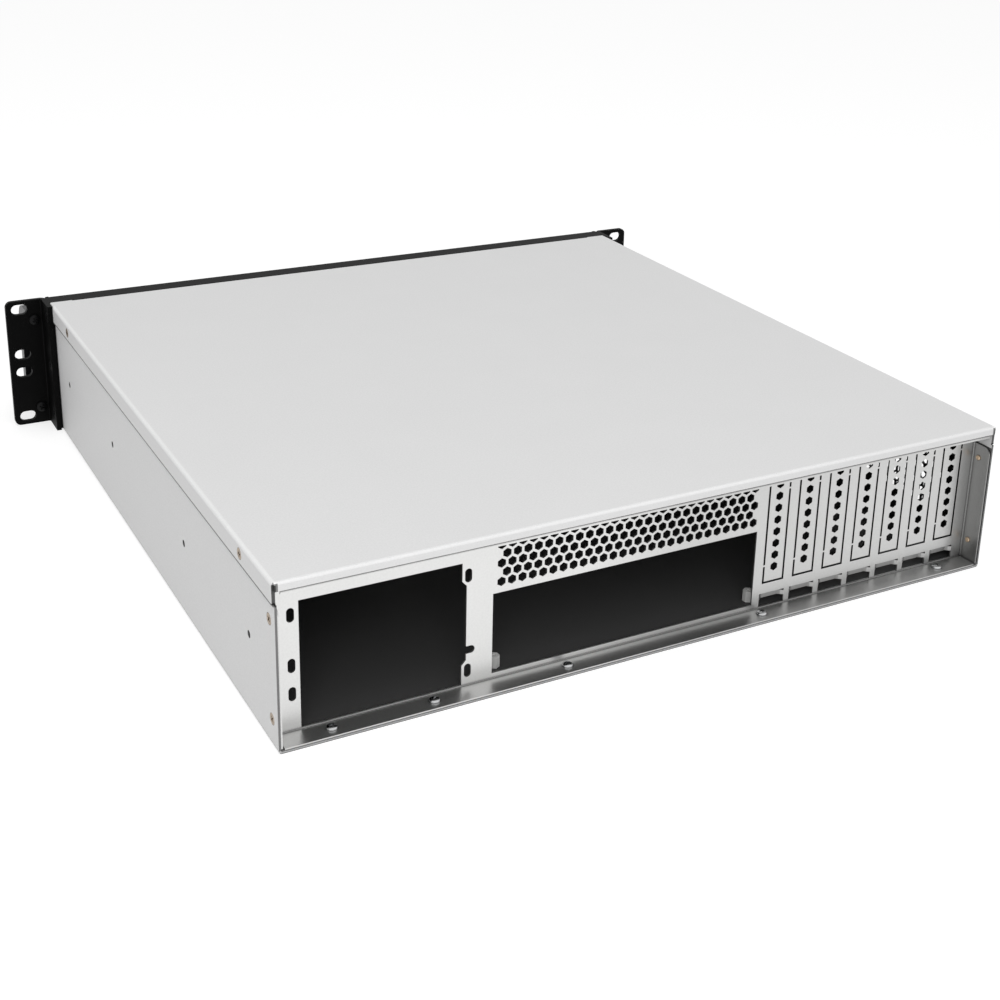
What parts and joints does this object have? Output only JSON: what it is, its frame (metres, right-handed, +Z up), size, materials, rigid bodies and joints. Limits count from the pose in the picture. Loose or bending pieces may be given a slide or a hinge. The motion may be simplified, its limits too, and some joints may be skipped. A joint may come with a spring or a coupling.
{
  "type": "empty rackmount server case",
  "caption": "Two-unit 19 inch rack case of folded steel with mounting ears, handles, a vented rear panel, card slots and openings for a power supply and a port plate.",
  "frame": {"origin": "centre of the case's underside, at half the depth between the front plate and the rear edge", "axes": "+X to the right seen from the front, +Y from the front plate to the rear, +Z up"},
  "size_m": [0.4826, 0.481, 0.0881],
  "materials": {
    "galvanised_sheet": "zinc-coated steel sheet, matte with a fine grain",
    "black_powder_coat": "fine-textured black powder coat",
    "black_handle": "satin black coat on a metal bar",
    "black_screw": "black oxide, slight sheen",
    "bronze_screw": "yellow zinc passivated steel, satin",
    "zinc_screw": "bright zinc plate",
    "black_plastic": "moulded black plastic, fine texture",
    "button_metal": "turned aluminium, satin",
    "lens_plastic": "clear diffusing plastic",
    "circuit_board": "green solder mask"
  },
  "bodies": {
    "case": {"base_tray": "galvanised_sheet", "rear_panel": "galvanised_sheet", "top_cover": "galvanised_sheet", "front_frame": "black_powder_coat", "ear_right": "black_powder_coat", "ear_left": "black_powder_coat", "handle_right": "black_handle", "handle_left": "black_handle", "handle_screws": "black_screw", "ear_screws": "black_screw", "cover_screws": "bronze_screw", "rear_side_screws": "bronze_screw", "floor_screws": "zinc_screw", "board_standoffs": "zinc_screw", "drive_cage": "galvanised_sheet", "drive_cage_screws": "zinc_screw", "bay_cover": "black_plastic", "fan_wall": "galvanised_sheet", "fan_wall_screws": "zinc_screw", "psu_bracket": "galvanised_sheet", "psu_bracket_screws": "zinc_screw", "button_carrier": "black_plastic", "button_carrier_screws": "zinc_screw", "indicator_lenses": "lens_plastic", "control_board": "circuit_board", "panel_switches": "black_plastic"},
    "power_button": {"power_button": "button_metal"},
    "reset_button": {"reset_button": "button_metal"}
  },
  "joints": [
    {"name": "power_press", "type": "slide", "parent": "case", "child": "power_button", "axis": [0, 1, 0], "range_m": [0, 0.0025], "stiffness_N_per_m": 600},
    {"name": "reset_press", "type": "slide", "parent": "case", "child": "reset_button", "axis": [0, 1, 0], "range_m": [0, 0.0015], "stiffness_N_per_m": 600}
  ]
}
